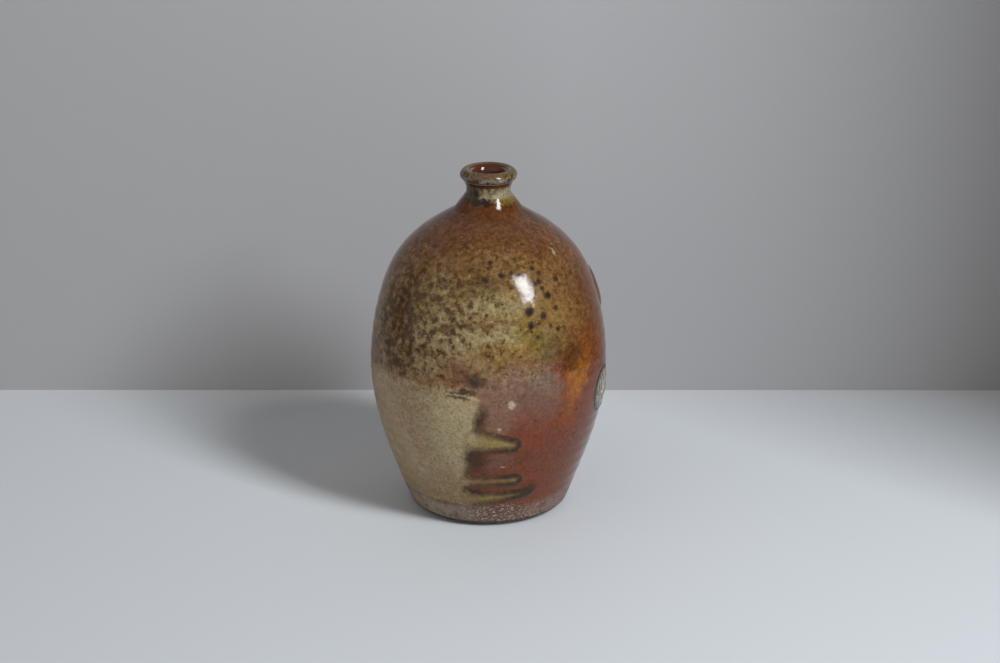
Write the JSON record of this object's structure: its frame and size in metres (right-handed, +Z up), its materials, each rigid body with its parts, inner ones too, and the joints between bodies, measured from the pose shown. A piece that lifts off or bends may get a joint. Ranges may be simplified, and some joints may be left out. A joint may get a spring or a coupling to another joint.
{
  "type": "sake bottle",
  "caption": "Egg-shaped wood-fired stoneware sake bottle with a narrow waisted neck, rolled lip, sideways ash-glaze runs, seashell scars and a flat foot.",
  "frame": {"origin": "centre of the flat base, where the bottle's axis meets the surface that it stands on", "axes": "+Z up along the axis through the mouth; -Y is the front; +X is the side that the bottle lay on in the kiln, where the seashell scars are"},
  "size_m": [0.1025, 0.1016, 0.15],
  "materials": {
    "bare_clay": "unglazed wood-fired stoneware, dry and gritty",
    "ash_glaze": "glossy natural ash glaze, olive and khaki to rust red",
    "liner_glaze": "glossy red-brown iron glaze",
    "ash_runs": "glossy olive ash glaze with dark brown edges",
    "shell_scar": "pale grey-green glass with crusty ribs"
  },
  "bodies": {
    "root": {"thrown_body": "bare_clay", "neck_collar": "bare_clay", "ash_glaze_coat": "ash_glaze", "liner_glaze": "liner_glaze", "ash_run_upper": "ash_runs", "ash_run_middle": "ash_runs", "ash_run_lower": "ash_runs", "shell_scar_front": "shell_scar", "shell_scar_shoulder": "shell_scar", "shell_scar_back": "shell_scar"}
  },
  "joints": []
}
